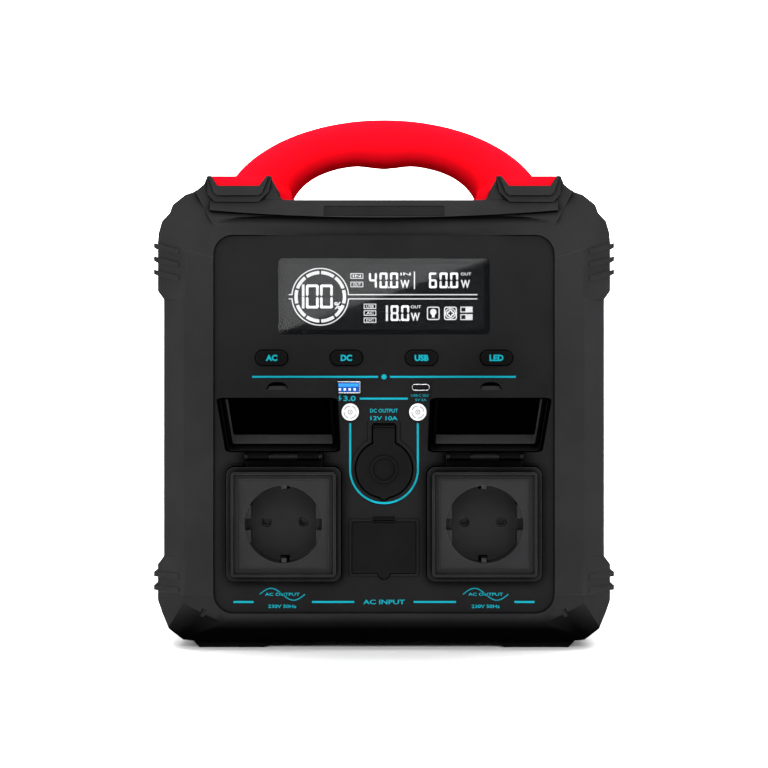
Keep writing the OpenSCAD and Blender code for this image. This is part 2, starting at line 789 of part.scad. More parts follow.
module socket_insert() {
    difference() {
        union() {
            along_y(plate_y, panel_y + 4) square(insert_size, center = true);
            along_y(panel_y + 4 - e, floor_y + 14) round_rect(43, 43, 2);
            span([-15, 15], [panel_back + 3.1, panel_back + 7], [-24.5, 24.5]);
        }
        difference() {
            pin_y(recess_dia / 2, panel_y - 9, floor_y);
            for (side = [-1, 1]) mirror([side > 0 ? 0 : 1, 0, 0]) difference() {
                span([16.5, 25], [plate_y + 1, floor_y + 1], [-9.5, 9.5]);
                span([14, 25], [plate_y - 2, floor_y - 4], [-3, 3]);
            }
        }
        for (x = [-9.5, 9.5]) at(x, 0) pin_y(2.7, floor_y - 1, floor_y + 11);
        for (z = [-19, 19]) span([-2.4, 2.4], [plate_y + 4, floor_y + 11], [z - 2, z + 2]);
    }
}

module contact_set() { // two pin sleeves and the two earth clips
    for (x = [-9.5, 9.5]) at(x, 0) difference() {
        pin_y(2.6, floor_y + 4, floor_y + 10.5);
        pin_y(2.1, floor_y + 3, floor_y + 9.5);
    }
    for (up = [0, 1]) mirror([0, 0, up]) along_x(-1.35, 1.35) polygon([
        [floor_y + 10, 20.6], [plate_y + 4.2, 20.6], [plate_y + 6, 17.4], [plate_y + 8, 16.8],
        [plate_y + 11, 18.2], [floor_y + 1, 19.4], [floor_y + 10, 19.4]
    ]);
}

module thumb_notch() { // half an oval, flat towards the lid's rim
    intersection() {
        union() {
            for (x = [-1, 1]) translate([x, 0]) circle(4.2);
            translate([-1, -4.2]) square([2, 8.4]);
        }
        translate([-6, -5]) square([12, 5]);
    }
}

module lid_closed() { // about the socket's middle, lying shut over its frame
    top = lid_top - socket_z;
    bottom = lid_bottom - socket_z;
    outer_y = lid_tip_y - lid_depth;
    difference() {
        at(0, (top + bottom) / 2) along_y(outer_y, lid_tip_y) round_rect(lid_w, top - bottom, 3.5);
        at(0, (top + bottom) / 2) along_y(outer_y + 1.8, lid_tip_y + 1)
            round_rect(lid_w - 2 * lid_wall, top - bottom - 2 * lid_wall, 1.8);
        translate([0, outer_y + 5.5, bottom - 1]) linear_extrude(lid_wall + 2) thumb_notch();
    }
    difference() {
        for (x = knuckles) {
            translate([0, lid_axis[0], axis_up]) pin_x(knuckle_r, x[0], x[1]);
            translate([0, lid_axis[0], axis_up]) along_x(x[0], x[1]) polygon([
                [1.6, -2], [-2.4, 1], [-8.6, -3], [-8.6, top - axis_up - e], [0, top - axis_up - e]
            ]);
        }
        translate([0, lid_axis[0], axis_up]) pin_x(pin_r + 0.06, -30, 30);
    }
}

module lid_seal() { // about the socket's middle, a ring that meets the rim when the lid is shut
    at(0, (lid_top + lid_bottom) / 2 - socket_z)
        along_y(lid_tip_y - lid_depth + 1.8, rim_y - 0.4) difference() {
            round_rect(52.4, 53.4, 2);
            round_rect(49.6, 50.6, 1);
        }
}

module opened() { // turns a closed lid's parts up to their open rest
    translate([0, lid_axis[0], lid_axis[1]]) rotate([-lid_open, 0, 0])
        translate([0, -lid_axis[0], socket_z - lid_axis[1]]) children();
}

module place(side) { translate([side * socket_x, 0, 0]) children(); }

module socket_frame_left() { color("#2e2e30") place(-1) at(0, socket_z) socket_frame(); }
module socket_frame_right() { color("#2e2e30") place(1) at(0, socket_z) socket_frame(); }
module socket_insert_left() { color("#2b2b2d") place(-1) at(0, socket_z) socket_insert(); }
module socket_insert_right() { color("#2b2b2d") place(1) at(0, socket_z) socket_insert(); }
module socket_contacts() { color("#c8c8c8") for (side = [-1, 1]) place(side) at(0, socket_z) contact_set(); }
module socket_lid_left() { color("#303032") place(-1) opened() lid_closed(); }
module socket_lid_right() { color("#303032") place(1) opened() lid_closed(); }
module lid_seal_left() { color("#101010") place(-1) opened() lid_seal(); }
module lid_seal_right() { color("#101010") place(1) opened() lid_seal(); }

module lid_pin() { translate([0, lid_axis[0], lid_axis[1]]) pin_x(pin_r, -19.2, 19.2); }

module lid_pins() { color("silver") for (side = [-1, 1]) place(side) lid_pin(); }

// ---------------------------------------------------------------- mains inlet

module inlet_socket() {
    color("#1c1c1c") at(0, inlet_z) difference() {
        union() {
            along_y(panel_y + 1.7, panel_back + 16) round_rect(27, 20, 1);
            along_y(panel_back + 0.1, panel_back + 2) round_rect(40, 22, 2);
        }
        along_y(panel_y + 1, panel_back + 12) difference() {
            round_rect(24.4, 16.4, 1);
            for (side = [-1, 1]) translate([side * 12.2, -8.2]) rotate(45) square(5, center = true);
        }
        inlet_pin_places() span([-1.05, 1.05], [panel_back + 11, panel_back + 17], [-2.05, 2.05]);
    }
}

module inlet_pin_places() { for (p = [[-7, -1.8], [7, -1.8], [0, 2]]) at(p[0], p[1]) children(); }

module inlet_pins() {
    color("#c8c8c8") at(0, inlet_z) inlet_pin_places()
        span([-1, 1], [panel_y + 6.4, panel_back + 20], [-2, 2]);
}

module inlet_cover() {
    color("#1e1e1f") {
        at(0, inlet_z) along_y(panel_y - 0.6, panel_y + 1.3) {
            round_rect(inlet_w, inlet_h, 0.6);
            translate([0, -inlet_h / 2]) circle(2.9);
        }
        translate([0, cover_axis[0], cover_axis[1]]) pin_x(bead_r, -5.2, 5.2);
    }
}

// ---------------------------------------------------------------- sides and rear

module vent_grille() {
    slot_pitch = 6.4;
    translate([0, vent_y, vent_z]) difference() {
        along_x(hw - wall, hw - 0.6) round_rect(vent_size - 0.2, vent_size - 0.2, 4.9);
        for (i = [-5:5], j = [-1, 1])
            translate([0, j * 17.5, i * slot_pitch]) along_x(hw - 9, hw + 5) stadium(31, 3.6);
    }
}

module vent_grilles() { color("#1c1c1d") both_sides() vent_grille(); }

module rear_panel() {
    color("#222223") difference() {
        union() {
            at(0, panel_mid - 4) along_y(hd - 3, hd - 0.4) round_rect(160, 170, 7.8);
            at(0, 50) along_y(hd - 0.5, hd + 0.2) round_rect(84, 22, 2);
        }
        at(0, 50) along_y(hd - 0.4, hd + 2) round_rect(80, 18, 1);
        for (i = [-5:5], j = [-1, 1])
            at(j * 25, 112 + i * 6.4) along_y(hd - 9, hd + 5) stadium(42, 3.4);
        at(0, lamp_z) along_y(hd - 9, hd + 5) stadium(92, 14);
        for (p = rear_screws) at(p[0], p[1]) {
            pin_y(1.9, hd - 9, hd + 5);
            pin_y(3.9, hd - 1.6, hd + 5);
        }
    }
}

module lamp_lens() {
    color([0.95, 0.95, 0.9, 0.6]) at(0, lamp_z) {
        along_y(hd - 3.1, hd + 0.6) stadium(91.6, 13.6);
        along_y(hd - 4.6, hd - 3.05) stadium(96, 18);
    }
}

module lamp_board() {
    color("#f2f2ee") at(0, lamp_z) span([-44, 44], [hd - 9.6, hd - 8], [-5, 5]);
    color("#ffe9a0") for (i = [-4:4]) at(i * 9.6, lamp_z) span([-1.8, 1.8], [hd - 10, hd - 7], [-1.8, 1.8]);
}

module screw(length) { // head up, its seat at the origin, with a hexagonal socket
    translate([0, 0, -length]) cylinder(r = 1.5, h = length + 0.5);
    difference() {
        cylinder(r = 3.5, h = 2.2);
        translate([0, 0, 1]) cylinder(r = 1.5, h = 2, $fn = 6);
    }
}

module case_screws() { // six in the rear panel, four up through the tray
    color("silver") {
        for (p = rear_screws) translate([p[0], hd - 1.6, p[1]]) rotate([-90, 0, 0]) screw(7);
        tray_screw_places() translate([0, 0, 9]) rotate([180, 0, 0]) screw(36);
    }
}

// ---------------------------------------------------------------- fan

fan_depth = 15;

module fan_frame() {
    color("#161616") translate([fan_pos[0] - fan_depth, fan_pos[1], fan_pos[2]]) {
        difference() {
            along_x(0, fan_depth) round_rect(fan_size, fan_size, 3);
            pin_x(fan_size / 2 - 2, -1, fan_depth + 1);
            for (y = [-1, 1], z = [-1, 1])
                translate([0, y * (fan_size / 2 - 5), z * (fan_size / 2 - 5)]) pin_x(2.1, -1, fan_depth + 1);
        }
        difference() {
            union() {
                pin_x(10, 0, 1.6);
                for (a = [45:90:315]) rotate([a, 0, 0]) span([0, 1.6], [9, fan_size / 2 - 1], [-1.5, 1.5]);
            }
            pin_x(1.55, -1, 5);
        }
    }
}

module fan_rotor() {
    hub_r = 11;
    blade_r = fan_size / 2 - 3.2;
    color("#202020") translate([fan_pos[0] - fan_depth, fan_pos[1], fan_pos[2]]) {
        difference() {
            pin_x(hub_r, 2.2, fan_depth - 0.8);
            pin_x(hub_r - 1.5, 1, fan_depth - 3);
        }
        pin_x(1.5, 0.2, fan_depth - 2.5);
        for (a = [0:360 / 7:359]) rotate([a, 0, 0])
            translate([fan_depth / 2 + 0.8, hub_r - 0.5, 0]) rotate([0, 38, 0])
                translate([-0.6, 0, -6]) cube([1.2, blade_r - hub_r + 0.5, 12]);
    }
}

// ---------------------------------------------------------------- battery and inverter

function cell_x(i) = (i - (cell_cols - 1) / 2) * cell_pitch;
function cell_y(j) = pack_y + (j - (cell_rows - 1) / 2) * cell_pitch;

module each_cell() {
    for (i = [0:cell_cols - 1], j = [0:cell_rows - 1]) translate([cell_x(i), cell_y(j), 0]) children();
}

module battery_cells() {
    color("#2a7f62") each_cell() {
        translate([0, 0, pack_z]) cylinder(d = cell_dia, h = cell_len - 1);
        translate([0, 0, pack_z + cell_len - 1 - e]) cylinder(d = 9, h = 1 + e);
    }
}

module cell_holders() {
    color("#303030") for (z = [pack_z - 2, pack_z + cell_len - 8]) difference() {
        translate([0, pack_y, z]) linear_extrude(6)
            round_rect(cell_cols * cell_pitch + 3, cell_rows * cell_pitch + 1, 3);
        each_cell() translate([0, 0, z < 30 ? pack_z - 0.05 : z - 1]) cylinder(d = cell_dia + 0.2, h = 9);
    }
}

module bus_bars() {
    color("#c9c9c4") for (i = [0:cell_cols - 1])
        span([cell_x(i) - 7, cell_x(i) + 7], [cell_y(0) - 7, cell_y(cell_rows - 1) + 7],
            [pack_z + cell_len, pack_z + cell_len + 0.4]);
}

module bms_board() {
    bms_z = pack_z + cell_len + 5;
    color("#1b5e3a") {
        translate([0, pack_y, 0]) span([-60, 60], [-38, 38], [bms_z, bms_z + 1.6]);
        for (i = [-3:3]) translate([i * 14, pack_y - 20, 0])
            span([-4, 4], [-5, 5], [bms_z + 1.6 - e, bms_z + 4]);
        translate([0, pack_y + 18, 0]) span([-30, 30], [-8, 8], [bms_z + 1.6 - e, bms_z + 7]);
        for (x = [-55, 55], y = [-33, 33]) translate([x, pack_y + y, bms_z - 4.6 + e])
            cylinder(r = 2.2, h = 5);
    }
}

module inverter_board() {
    color("#1b5e3a") {
        span([-84, 84], [-22, 84], [inverter_z, inverter_z + 1.6]);
        for (x = [-70, -50]) span([x, x + 12], [-18, -3], [inverter_z + 1.6 - e, inverter_z + 16]);
    }
}

module heatsink() { // a base with fins, standing on the board
    span([-3, 3], [-38, 38], [0, 44]);
    for (z = [6:7:41]) span([-13, 13], [-38, 38], [z, z + 1.6]);
}

module inverter_heatsinks() {
    color("#b5b8bb") for (x = [-62, 62]) translate([x, 38, inverter_z + 1.7]) heatsink();
}

module transformers() {
    color("#b06a2c") for (y = [14, 62]) translate([0, y, inverter_z + 1.7]) {
        span([-17, 17], [-19, 19], [0, 8]);
        translate([0, 0, 8 - e]) cylinder(r = 16, h = 24);
        span([-17, 17], [-19, 19], [31.9, 40]);
    }
}

module capacitors() {
    color("#22304a") for (x = [-34, 34], y = [8, 34, 60]) translate([x, y, inverter_z + 1.7])
        cylinder(r = 9, h = 42);
}

module divider_plate() {
    color("#a9adb1") difference() {
        span([-91, 91], [-29.5, -28], [foot_h + wall + 0.2, 196]);
        for (x = [-60, 0, 60]) at(x, 150) along_y(-40, -20) stadium(30, 16);
    }
}

// ---------------------------------------------------------------- the nodes

translate([0, (front_reach - rear_reach) / 2, 0]) {
    bottom_tray();
    body_sleeve();
    top_cover();
    rear_panel();
    vent_grilles();
    bumper_front_left();
    bumper_front_right();
    bumper_rear_left();
    bumper_rear_right();
    rubber_feet();
    handle();
    handle_bolts();
    badge_plate();
    front_panel();
    display_window();
    display_module();
    ac_button();
    dc_button();
    usb_button();
    led_button();
    tact_switches();
    control_board();
    port_board();
    usb_a_port();
    usb_c_port();
    dc_jack_left();
    dc_jack_right();
    car_socket_barrel();
    car_socket_contact();
    car_socket_cap();
    cap_anchor();
    socket_frame_left();
    socket_frame_right();
    socket_insert_left();
    socket_insert_right();
    socket_contacts();
    socket_lid_left();
    socket_lid_right();
    lid_pins();
    lid_seal_left();
    lid_seal_right();
    inlet_socket();
    inlet_pins();
    inlet_cover();
    cover_anchor();
    fan_frame();
    fan_rotor();
    battery_cells();
    cell_holders();
    bus_bars();
    bms_board();
    inverter_board();
    inverter_heatsinks();
    transformers();
    capacitors();
    divider_plate();
    lamp_lens();
    lamp_board();
    case_screws();
}
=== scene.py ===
"""Looks of a portable power station: materials, printed graphics, lit display and studio."""

import json
import math

import bpy
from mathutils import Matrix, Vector


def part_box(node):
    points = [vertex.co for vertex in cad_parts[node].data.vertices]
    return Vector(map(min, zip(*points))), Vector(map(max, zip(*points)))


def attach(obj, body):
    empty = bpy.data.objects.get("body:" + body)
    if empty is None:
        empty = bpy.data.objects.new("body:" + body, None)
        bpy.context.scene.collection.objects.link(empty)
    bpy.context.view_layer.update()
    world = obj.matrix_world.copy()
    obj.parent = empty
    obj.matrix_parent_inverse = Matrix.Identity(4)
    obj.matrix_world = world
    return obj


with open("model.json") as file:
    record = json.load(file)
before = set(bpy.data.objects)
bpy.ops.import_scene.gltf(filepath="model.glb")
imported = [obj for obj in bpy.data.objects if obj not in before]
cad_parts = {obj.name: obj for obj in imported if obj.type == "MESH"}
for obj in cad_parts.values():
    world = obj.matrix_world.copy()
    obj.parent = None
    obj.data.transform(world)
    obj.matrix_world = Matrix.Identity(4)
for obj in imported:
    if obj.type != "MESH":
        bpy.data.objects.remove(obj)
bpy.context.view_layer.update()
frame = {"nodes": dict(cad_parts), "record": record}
NODES = frame["nodes"]
MM = 0.001


# ---------------------------------------------------------------- places taken from the CAD

def middle(node):
    low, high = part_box(node)
    return (low + high) / 2


PANEL_THICKNESS = 3 * MM
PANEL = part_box("front_panel")[1].y - PANEL_THICKNESS  # front surface of the front panel
WINDOW_LOW, WINDOW_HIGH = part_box("display_window")
WINDOW_Z = (WINDOW_LOW.z + WINDOW_HIGH.z) / 2
CAR_Z = middle("car_socket_barrel").z
JACK_X = middle("dc_jack_right").x
JACK_Z = middle("dc_jack_right").z
USB_X = middle("usb_c_port").x
USB_Z = middle("usb_c_port").z
MODULE_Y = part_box("display_module")[0].y


# ---------------------------------------------------------------- node helpers

def new_material(name):
    mat = bpy.data.materials.new(name)
    mat.use_nodes = True
    nodes, links = mat.node_tree.nodes, mat.node_tree.links
    return mat, nodes, links, nodes["Principled BSDF"]


def noise(nodes, links, coords, scale, detail=4.0, roughness=0.55):
    tex = nodes.new("ShaderNodeTexNoise")
    tex.inputs["Scale"].default_value = scale
    tex.inputs["Detail"].default_value = detail
    tex.inputs["Roughness"].default_value = roughness
    links.new(coords, tex.inputs["Vector"])
    return tex.outputs["Fac"]


def ramp(nodes, links, fac, low, high, value_low=0.0, value_high=1.0):
    node = nodes.new("ShaderNodeMapRange")
    for socket, value in zip(("From Min", "From Max", "To Min", "To Max"), (low, high, value_low, value_high)):
        node.inputs[socket].default_value = value
    links.new(fac, node.inputs["Value"])
    return node.outputs["Result"]


def blend_colours(nodes, links, fac, a, b):
    node = nodes.new("ShaderNodeMix")
    node.data_type = "RGBA"
    links.new(fac, node.inputs["Factor"])
    for socket, value in ((node.inputs[6], a), (node.inputs[7], b)):
        if isinstance(value, (tuple, list)):
            socket.default_value = (*value[:3], 1)
        else:
            links.new(value, socket)
    return node.outputs[2]


def shade(colour, factor):
    return tuple(min(1.0, c * factor) for c in colour[:3])


def object_coords(nodes, links, name, stretch=(1, 1, 1)):
    """Object coordinates, moved by a place of the material's own so that no two patterns line up."""
    coords = nodes.new("ShaderNodeTexCoord").outputs["Object"]
    move = nodes.new("ShaderNodeMapping")
    seed = sum(ord(c) * (i + 1) for i, c in enumerate(name)) % 97
    move.inputs["Location"].default_value = (seed * 0.013, seed * 0.007, seed * 0.011)
    move.inputs["Scale"].default_value = stretch
    links.new(coords, move.inputs["Vector"])
    return move.outputs["Vector"]


def edge_mask(nodes, links, radius):
    """1 along the piece's sharp edges and 0 elsewhere."""
    bevel = nodes.new("ShaderNodeBevel")
    bevel.samples = 8
    bevel.inputs["Radius"].default_value = radius
    geometry = nodes.new("ShaderNodeNewGeometry")
    dot = nodes.new("ShaderNodeVectorMath")
    dot.operation = "DOT_PRODUCT"
    links.new(bevel.outputs["Normal"], dot.inputs[0])
    links.new(geometry.outputs["Normal"], dot.inputs[1])
    return ramp(nodes, links, dot.outputs["Value"], 0.995, 0.86), bevel.outputs["Normal"]


def painted_underside_shade(nodes, links):
    """1 on faces that look down, which painted shade darkens, and 0 on the others."""
    parts = nodes.new("ShaderNodeSeparateXYZ")
    links.new(nodes.new("ShaderNodeNewGeometry").outputs["Normal"], parts.inputs[0])
    return ramp(nodes, links, parts.outputs["Z"], -0.12, -0.5)


BLOTCHES = 38  # scale of a finish's broad colour variation
ROUGH_SPREAD = 0.06  # how far the roughness strays to either side
GRAIN_DEPTH = 0.00012
CREASE_REACH = 6 * MM  # how near a wall must be for painted shade to darken a surface in a crease
# the colour of the painted shade in corners and gaps
PAINTED_CREASE_SHADE = (0.0, 0.0, 0.0)


def surface(
    name, colour, rough=0.5, grain=1800, bump=0.12, vary=0.2, wear_and_highlight=0.35, edge=0.5,
    metallic=0.0, coat=0.0, stretch=(1, 1, 1), specular=0.0, under=0.0, creases=0.0,
):
    """A finish with colour variation, grain, uneven roughness, bump, pale edges and painted shade.

    grain is the fine noise's scale and edge the width in mm of the lightened edges, which stand partly
    for rubbing and partly for painted highlight; under is how much painted shade darkens the faces that
    look down, and creases how much painted shade darkens the corners and gaps.
    """
    mat, nodes, links, bsdf = new_material(name)
    coords = object_coords(nodes, links, name, stretch)
    broad = noise(nodes, links, coords, BLOTCHES, 5)
    fine = noise(nodes, links, coords, grain, 3, 0.6)
    blotched = ramp(nodes, links, broad, 0.3, 0.7)
    mottled = blend_colours(nodes, links, blotched, shade(colour, 1 - vary), shade(colour, 1 + vary))
    specks = ramp(nodes, links, fine, 0.56, 0.72, 0, 0.35)
    speckled = blend_colours(nodes, links, specks, mottled, shade(colour, 1.7))
    # Edges are lightened towards a paler colour, standing partly for rubbing and partly for painted highlight.
    mask, soft_normal = edge_mask(nodes, links, edge * MM)
    edge_rub_and_highlight = nodes.new("ShaderNodeMath")
    edge_rub_and_highlight.operation = "MULTIPLY"
    links.new(mask, edge_rub_and_highlight.inputs[0])
    links.new(ramp(nodes, links, broad, 0.35, 0.65, 0.35 * wear_and_highlight, wear_and_highlight), edge_rub_and_highlight.inputs[1])
    rubbed_and_highlit = tuple(c * 1.6 + 0.03 for c in colour[:3])
    finish = blend_colours(nodes, links, edge_rub_and_highlight.outputs[0], speckled, rubbed_and_highlit)
    # Painted shade: faces that look down are darkened and lose most of their specular.
    if under:
        down = painted_underside_shade(nodes, links)
        finish = blend_colours(nodes, links, down, finish, shade(colour, 1 - under))
        shine = ramp(nodes, links, down, 0, 1, specular, specular * (1 - under))
        links.new(shine, bsdf.inputs["Specular IOR Level"])
    # Painted shade: ambient occlusion darkens corners and gaps towards black.
    if creases:
        shelter = nodes.new("ShaderNodeAmbientOcclusion")
        shelter.samples = 6
        shelter.inputs["Distance"].default_value = CREASE_REACH
        open_air = ramp(nodes, links, shelter.outputs["AO"], 0.5, 0.92, 1 - creases, 1)
        finish = blend_colours(nodes, links, open_air, PAINTED_CREASE_SHADE, finish)
    links.new(finish, bsdf.inputs["Base Color"])
    uneven = ramp(nodes, links, broad, 0.3, 0.7, rough - ROUGH_SPREAD, rough + ROUGH_SPREAD)
    links.new(uneven, bsdf.inputs["Roughness"])
    relief = nodes.new("ShaderNodeBump")
    relief.inputs["Strength"].default_value = bump
    relief.inputs["Distance"].default_value = GRAIN_DEPTH
    links.new(fine, relief.inputs["Height"])
    links.new(soft_normal, relief.inputs["Normal"])
    links.new(relief.outputs["Normal"], bsdf.inputs["Normal"])
    bsdf.inputs["Metallic"].default_value = metallic
    if not under:
        bsdf.inputs["Specular IOR Level"].default_value = specular
    bsdf.inputs["Coat Weight"].default_value = coat
    bsdf.inputs["Coat Roughness"].default_value = 0.15
    return mat


def glowing(name, colour, strength):
    """A lit print: a dim surface that gives off light, a little uneven as a backlight is."""
    mat, nodes, links, bsdf = new_material(name)
    coords = object_coords(nodes, links, name)
    broad = noise(nodes, links, coords, 90, 3)
    patches = ramp(nodes, links, broad, 0.3, 0.7)
    tone = blend_colours(nodes, links, patches, shade(colour, 0.86), shade(colour, 1.05))
    links.new(tone, bsdf.inputs["Base Color"])
    links.new(tone, bsdf.inputs["Emission Color"])
    bsdf.inputs["Emission Strength"].default_value = strength
    bsdf.inputs["Roughness"].default_value = 0.5
    return mat


def window_glass(name):
    """The display's tinted window, which mirrors softly and lets the lit signs through."""
    mat, nodes, links, bsdf = new_material(name)
    coords = object_coords(nodes, links, name)
    broad = noise(nodes, links, coords, 30, 4)
    tint = blend_colours(nodes, links, broad, (0.004, 0.005, 0.006), (0.007, 0.008, 0.009))
    links.new(tint, bsdf.inputs["Base Color"])
    links.new(ramp(nodes, links, broad, 0.3, 0.7, 0.015, 0.03), bsdf.inputs["Roughness"])
    bsdf.inputs["Alpha"].default_value = 0.42
    bsdf.inputs["Specular IOR Level"].default_value = 0.6
    return mat


BLACK = (0.0128, 0.0128, 0.0133)  # the front's plastics and rubbers are shades of this
CASE = (0.0185, 0.0185, 0.0192)
TEAL = (0.008, 0.31, 0.385)
# Where a finish sets under, its faces that look down carry painted shade; where it sets creases, so do its
# corners and gaps.
MATERIALS = {
    "case": surface(
        "case_plastic_look", CASE, rough=0.5, grain=2600, bump=0.3, vary=0.1, under=0.9, creases=0.9,
    ),
    "tray": surface(
        "tray_plastic_look", shade(CASE, 0.95), rough=0.5, grain=2600, bump=0.3, vary=0.1, under=0.95,
    ),
    "panel": surface(
        "panel_plastic_look", shade(BLACK, 0.9), rough=0.46, grain=3200, bump=0.2, vary=0.1, wear_and_highlight=0.2,
        under=0.9, creases=0.9,
    ),
    # Strong edge lightening on the frame and the insert is painted highlight along their rims.
    "frame": surface(
        "socket_frame_look", shade(BLACK, 1.1), rough=0.42, grain=3000, bump=0.18, vary=0.1, wear_and_highlight=1.3,
        edge=0.4, under=0.9, creases=0.9,
    ),
    "insert": surface(
        "socket_insert_look", shade(BLACK, 1.75), rough=0.4, grain=2800, bump=0.12, vary=0.12, wear_and_highlight=0.6,
        under=0.9,
    ),
    "seal": surface(
        "lid_seal_look", shade(BLACK, 2.6), rough=0.6, grain=2400, bump=0.2, vary=0.1, wear_and_highlight=0.1,
        under=0.97,
    ),
    "lid": surface(
        "lid_plastic_look", shade(CASE, 0.4), rough=0.46, grain=2800, bump=0.22, vary=0.1, wear_and_highlight=0.2,
        under=0.97, creases=0.9,
    ),
    "bumper": surface("bumper_rubber_look", CASE, rough=0.62, grain=2000, bump=0.35, vary=0.14, under=0.9),
    "rubber": surface(
        "rubber_look", shade(BLACK, 0.45), rough=0.62, grain=1700, bump=0.35, vary=0.16, wear_and_highlight=0.2,
        specular=0.02, under=0.9, creases=0.8,
    ),
    "button": surface(
        "button_rubber_look", shade(BLACK, 0.3), rough=0.5, grain=2400, bump=0.2, vary=0.12, wear_and_highlight=0.5,
        specular=0.02, creases=0.8,
    ),
    "red": surface(
        "red_plastic_look", (0.95, 0.004, 0.013), rough=0.45, grain=2400, bump=0.16, vary=0.05, wear_and_highlight=0.02,
        specular=0.0, under=0.12,
    ),
    "steel": surface(
        "zinc_steel_look", (0.5, 0.5, 0.52), rough=0.32, metallic=1, grain=900, stretch=(1, 1, 6),
    ),
    "bright": surface(
        "bright_steel_look", (0.62, 0.63, 0.65), rough=0.24, metallic=1, grain=1400, stretch=(1, 8, 1),
    ),
    # Nickel darkened almost to black: painted shade on the contacts and pins sunk in their holes.
    "nickel": surface("nickel_look", (0.05, 0.048, 0.046), rough=0.5, metallic=1, grain=1500, wear_and_highlight=0.1),
    "brass": surface("brass_look", (0.72, 0.5, 0.2), rough=0.3, metallic=1, grain=1500),
    "aluminium": surface(
        "aluminium_look", (0.5, 0.5, 0.52), rough=0.42, metallic=1, grain=600, stretch=(1, 0.1, 1),
    ),
    "white": surface("white_plastic_look", (0.75, 0.75, 0.74), rough=0.35, grain=2000, bump=0.1, vary=0.04),
    "bright_blue": surface("usb_step_look", (0.04, 0.3, 0.85), rough=0.35, grain=2000, bump=0.1, vary=0.08),
    "grey": surface("grey_plastic_look", (0.16, 0.16, 0.165), rough=0.4, grain=2000, bump=0.1, vary=0.06),
    "blue": surface("blue_plastic_look", (0.01, 0.09, 0.42), rough=0.4, grain=2000, bump=0.1, vary=0.08),
    "board": surface(
        "circuit_board_look", (0.012, 0.1, 0.04), rough=0.35, grain=500, bump=0.3, vary=0.3, coat=0.3,
    ),
    "cell": surface("cell_wrap_look", (0.02, 0.2, 0.13), rough=0.35, grain=900, vary=0.15, coat=0.2),
    "core": surface(
        "ferrite_look", (0.12, 0.07, 0.03), rough=0.45, grain=1200, bump=0.4, vary=0.3, coat=0.3,
    ),
    "can": surface("capacitor_look", (0.02, 0.035, 0.07), rough=0.3, grain=1200, vary=0.1),
    "lamp": surface(
        "lamp_diffuser_look", (0.8, 0.8, 0.76), rough=0.35, grain=700, bump=0.5, vary=0.04, wear_and_highlight=0.05,
    ),
    "lampboard": surface("lamp_board_look", (0.75, 0.75, 0.7), rough=0.4, grain=900, vary=0.05),
    "lcd": surface(
        "display_backing_look", (0.03, 0.031, 0.033), rough=0.6, grain=1500, bump=0.05, vary=0.05,
        wear_and_highlight=0.0,
    ),
    "teal": surface("teal_print_look", TEAL, rough=0.45, grain=3000, bump=0.05, vary=0.05, wear_and_highlight=0.0),
    "glow": glowing("display_light_look", (0.93, 0.95, 0.96), 2.4),
    "glass": window_glass("window_glass_look"),
}
FINISH = {
    "bottom_tray": "tray", "body_sleeve": "case", "top_cover": "case", "rear_panel": "panel",
    "vent_grilles": "tray", "bumper_front_left": "bumper", "bumper_front_right": "bumper",
    "bumper_rear_left": "bumper", "bumper_rear_right": "bumper", "rubber_feet": "rubber",
    "handle": "red", "handle_bolts": "steel", "badge_plate": "panel", "front_panel": "panel",
    "display_window": "glass", "display_module": "lcd", "ac_button": "button", "dc_button": "button",
    "usb_button": "button", "led_button": "button", "tact_switches": "steel", "control_board": "board",
    "port_board": "board", "usb_a_port": "bright", "usb_c_port": "bright", "dc_jack_left": "white",
    "dc_jack_right": "white", "car_socket_barrel": "aluminium", "car_socket_contact": "brass",
    "car_socket_cap": "rubber", "cap_anchor": "rubber", "socket_frame_left": "frame",
    "socket_frame_right": "frame", "socket_insert_left": "insert", "socket_insert_right": "insert",
    "socket_contacts": "nickel", "socket_lid_left": "lid", "socket_lid_right": "lid",
    "lid_pins": "nickel", "lid_seal_left": "seal", "lid_seal_right": "seal", "inlet_socket": "panel",
    "inlet_pins": "nickel", "inlet_cover": "rubber", "cover_anchor": "rubber", "fan_frame": "tray",
    "fan_rotor": "tray", "battery_cells": "cell", "cell_holders": "tray", "bus_bars": "bright",
    "bms_board": "board", "inverter_board": "board", "inverter_heatsinks": "aluminium",
    "transformers": "core", "capacitors": "can", "divider_plate": "aluminium", "lamp_lens": "lamp",
    "lamp_board": "lampboard", "case_screws": "steel",
}
for node, finish in FINISH.items():
    data = NODES[node].data
    data.materials.clear()
    data.materials.append(MATERIALS[finish])


WELD = 0.002 * MM  # points nearer to each other than this are joined before shading
SMOOTH_BELOW = math.radians(28)


